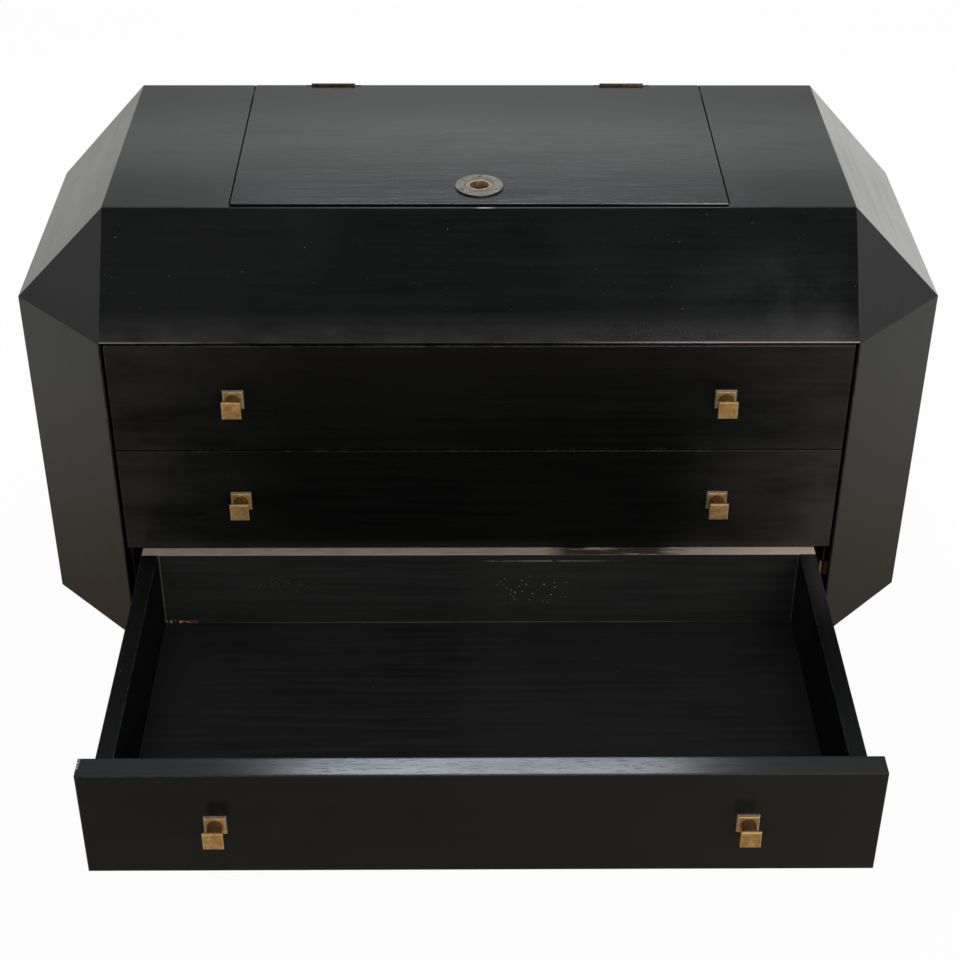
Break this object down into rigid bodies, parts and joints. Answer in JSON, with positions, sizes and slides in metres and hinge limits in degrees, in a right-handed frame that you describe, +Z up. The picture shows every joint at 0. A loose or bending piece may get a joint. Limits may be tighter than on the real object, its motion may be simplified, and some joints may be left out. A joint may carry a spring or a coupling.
{
  "type": "vanity dresser",
  "caption": "Low black vanity dresser with a cut-gem case: full-width drawers with square brass knobs under a lift-up lid with a finger pull, on a recessed base.",
  "frame": {"origin": "on the floor under the middle of the case, at the middle glide's sole; x = 0 is the plane of symmetry and y = 0 the middle of the case's depth", "axes": "+Z up, -Y out of the drawer fronts towards the user, +X to the right of someone who faces the fronts"},
  "size_m": [1.22, 0.977, 0.7124],
  "materials": {
    "top_lacquer": "charcoal satin lacquer, faint lengthwise grain",
    "case_lacquer": "black satin lacquer, worn at the edges",
    "front_lacquer": "black satin lacquer on an open-grained wood",
    "inside_stain": "thin black stain, rubbed",
    "raw_wood": "bare, worn",
    "drawer_back_wood": "bare top edge, mottled",
    "felt": "felt",
    "mirror_glass": "silvered glass",
    "knob_brass": "antique brass, darkened in the hollows",
    "aged_bronze": "aged bronze, rubbed bright at the rims",
    "screw_steel": "zinc plated"
  },
  "bodies": {
    "carcass": {"top_panel": "top_lacquer", "front_slope": "case_lacquer", "shoulder_left": "case_lacquer", "shoulder_right": "case_lacquer", "corner_facet_left": "case_lacquer", "corner_facet_right": "case_lacquer", "corner_panel_left": "case_lacquer", "corner_panel_right": "case_lacquer", "side_left": "case_lacquer", "side_right": "case_lacquer", "back_panel": "case_lacquer", "bottom_board": "inside_stain", "deck": "inside_stain", "liner_left": "inside_stain", "liner_right": "inside_stain", "runners": "raw_wood", "drawer_stops": "felt", "well_wall_left": "inside_stain", "well_wall_right": "inside_stain", "well_wall_front": "inside_stain", "plinth_front": "case_lacquer", "plinth_back": "case_lacquer", "plinth_rails": "case_lacquer", "glue_blocks": "raw_wood", "glides": "screw_steel", "hinge_case_leaves": "aged_bronze", "hinge_case_screws": "aged_bronze", "hinge_pins": "aged_bronze"},
    "lid": {"lid_board": "top_lacquer", "lid_mirror": "mirror_glass", "pull_flange": "aged_bronze", "pull_bush": "aged_bronze", "pull_screws": "aged_bronze", "hinge_lid_leaves": "aged_bronze", "hinge_lid_screws": "aged_bronze"},
    "drawer_top": {"top_drawer_front": "front_lacquer", "top_drawer_left": "inside_stain", "top_drawer_right": "inside_stain", "top_drawer_back": "drawer_back_wood", "top_drawer_floor": "inside_stain", "top_drawer_knobs": "knob_brass", "top_drawer_plates": "knob_brass", "top_drawer_screws": "screw_steel"},
    "drawer_middle": {"middle_drawer_front": "front_lacquer", "middle_drawer_left": "inside_stain", "middle_drawer_right": "inside_stain", "middle_drawer_back": "drawer_back_wood", "middle_drawer_floor": "inside_stain", "middle_drawer_knobs": "knob_brass", "middle_drawer_plates": "knob_brass", "middle_drawer_screws": "screw_steel"},
    "drawer_bottom": {"bottom_drawer_front": "front_lacquer", "bottom_drawer_left": "inside_stain", "bottom_drawer_right": "inside_stain", "bottom_drawer_back": "drawer_back_wood", "bottom_drawer_floor": "inside_stain", "bottom_drawer_knobs": "knob_brass", "bottom_drawer_plates": "knob_brass", "bottom_drawer_screws": "screw_steel"}
  },
  "joints": [
    {"name": "lid_hinge", "type": "hinge", "parent": "carcass", "child": "lid", "pos_m": [0, 0.248, 0.7094], "axis": [-1, 0, 0], "range_deg": [0, 100]},
    {"name": "top_drawer_slide", "type": "slide", "parent": "carcass", "child": "drawer_top", "axis": [0, -1, 0], "range_m": [0, 0.445]},
    {"name": "middle_drawer_slide", "type": "slide", "parent": "carcass", "child": "drawer_middle", "axis": [0, -1, 0], "range_m": [0, 0.445]},
    {"name": "bottom_drawer_slide", "type": "slide", "parent": "carcass", "child": "drawer_bottom", "axis": [0, -1, 0], "range_m": [-0.445, 0]}
  ]
}
